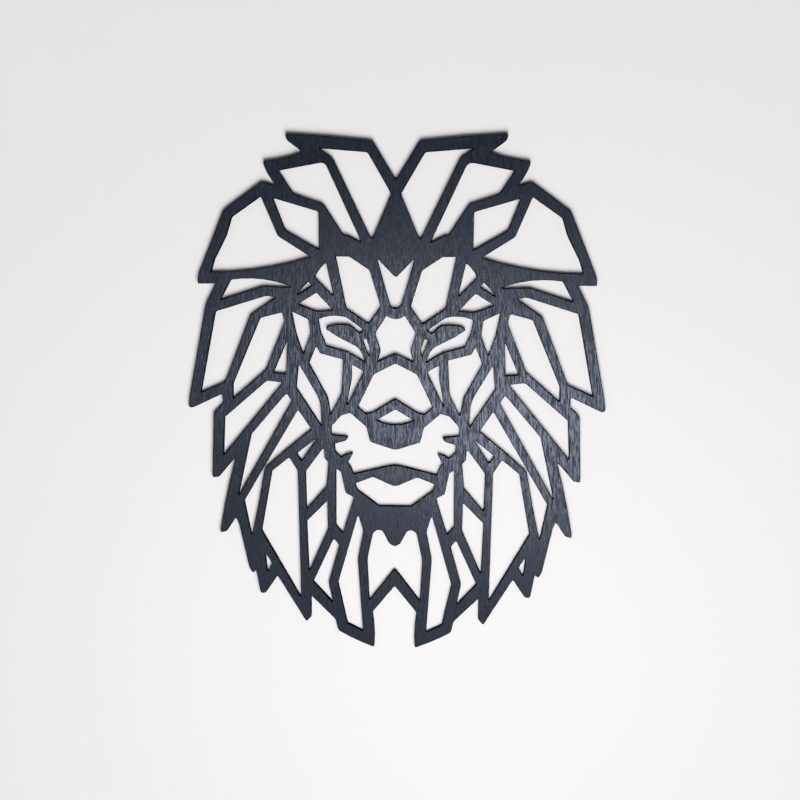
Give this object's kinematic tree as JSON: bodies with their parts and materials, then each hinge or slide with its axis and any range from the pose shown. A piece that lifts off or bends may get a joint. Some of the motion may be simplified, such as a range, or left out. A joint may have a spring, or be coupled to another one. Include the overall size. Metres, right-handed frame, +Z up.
{
  "type": "lion head wall panel",
  "caption": "Flat fretwork plate of stained sheet wood, cut so that its bars draw a lion's face and mane; rests flat against a wall as decoration.",
  "frame": {"origin": "on the flat back of the plate, at the forehead on the centre line of the face, where the plate rests on the wall", "axes": "+Z up, +X to the viewer's right across the face, -Y out of the wall towards the viewer, +Y into the wall"},
  "size_m": [0.3212, 0.003, 0.4009],
  "materials": {
    "stained_plywood": "dark blue-black stain, satin, with fine vertical grain and scorched cut edges"
  },
  "bodies": {
    "root": {"lion_head_panel": "stained_plywood"}
  },
  "joints": []
}
